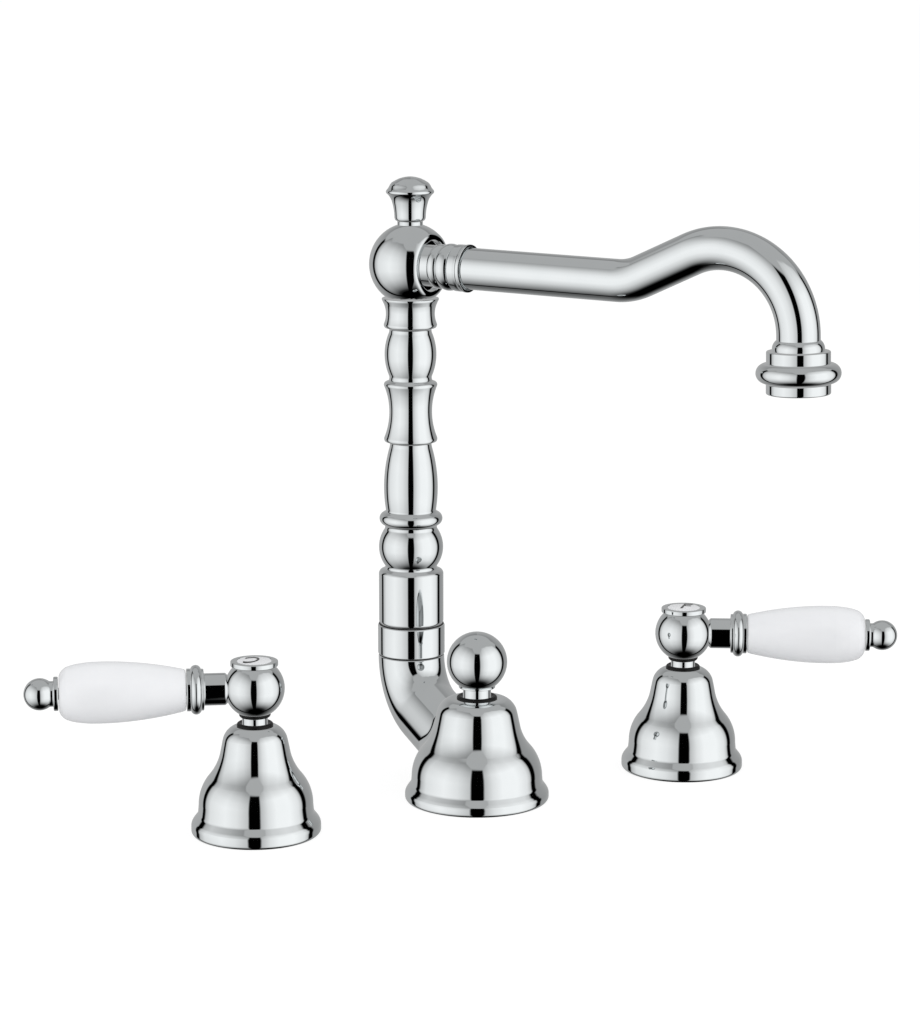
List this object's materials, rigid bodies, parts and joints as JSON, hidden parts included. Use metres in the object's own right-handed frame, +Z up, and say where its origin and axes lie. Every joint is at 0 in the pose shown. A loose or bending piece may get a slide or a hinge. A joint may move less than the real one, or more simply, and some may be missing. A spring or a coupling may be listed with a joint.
{
  "type": "three-hole basin mixer",
  "caption": "Deck-mounted basin mixer: a swan-neck swivel spout on a turned pillar with a bell base, and a separate bell-shaped valve with a porcelain lever on each side.",
  "frame": {"origin": "the middle of the centre hole, on the upper face of the deck", "axes": "+X along the line of holes to the cold valve, +Y away from the user, +Z up"},
  "size_m": [0.3616, 0.186, 0.3095],
  "materials": {
    "chrome": "polished plating on brass",
    "porcelain": "white glaze",
    "brass": "machined, unplated",
    "steel": "plain stainless",
    "rubber": "matt black",
    "nylon_black": "moulded, black",
    "nylon_white": "moulded, white",
    "plastic_white": "moulded, white"
  },
  "bodies": {
    "base": {"spout_body": "chrome", "swivel_band": "chrome", "swivel_glide_ring": "nylon_white", "swivel_seal_lower": "rubber", "swivel_seal_upper": "rubber", "rod_guide_bush": "nylon_black", "centre_shank": "brass", "centre_gasket": "rubber", "centre_fixing_washer": "steel", "centre_backnut": "brass", "hot_bell": "chrome", "hot_stem_bush": "nylon_black", "hot_valve_body": "brass", "hot_cartridge": "brass", "hot_gasket": "rubber", "hot_fixing_washer": "steel", "hot_backnut": "brass", "cold_bell": "chrome", "cold_stem_bush": "nylon_black", "cold_valve_body": "brass", "cold_cartridge": "brass", "cold_gasket": "rubber", "cold_fixing_washer": "steel", "cold_backnut": "brass"},
    "spout": {"column": "chrome", "swivel_set_screw": "steel", "spout_hub": "chrome", "finial": "chrome", "spout_union": "chrome", "spout_ferrule": "chrome", "spout_tube": "chrome", "outlet_collar": "chrome", "aerator_housing": "chrome", "aerator_insert": "plastic_white", "aerator_seal": "rubber"},
    "lift": {"lift_knob": "chrome", "lift_rod": "steel"},
    "hot_lever": {"hot_spindle": "brass", "hot_hub": "chrome", "hot_hub_screw": "steel", "hot_index_rim": "chrome", "hot_index_disc": "porcelain", "hot_lever_arm": "chrome", "hot_grip": "porcelain", "hot_tie_rod": "steel", "hot_end_knob": "chrome"},
    "cold_lever": {"cold_spindle": "brass", "cold_hub": "chrome", "cold_hub_screw": "steel", "cold_index_rim": "chrome", "cold_index_disc": "porcelain", "cold_lever_arm": "chrome", "cold_grip": "porcelain", "cold_tie_rod": "steel", "cold_end_knob": "chrome"}
  },
  "joints": [
    {"name": "spout_swivel", "type": "hinge", "parent": "base", "child": "spout", "pos_m": [0, 0.0576, 0.0627], "axis": [0, 0, 1], "continuous": true},
    {"name": "hot_lever_turn", "type": "hinge", "parent": "base", "child": "hot_lever", "pos_m": [-0.1, 0, 0.0587], "axis": [0, 0, 1], "range_deg": [0, 90]},
    {"name": "cold_lever_turn", "type": "hinge", "parent": "base", "child": "cold_lever", "pos_m": [0.1, 0, 0.0587], "axis": [0, 0, 1], "range_deg": [-35, 55]},
    {"name": "lift_rod_slide", "type": "slide", "parent": "base", "child": "lift", "axis": [0, 0, 1], "range_m": [0, 0.022]}
  ]
}
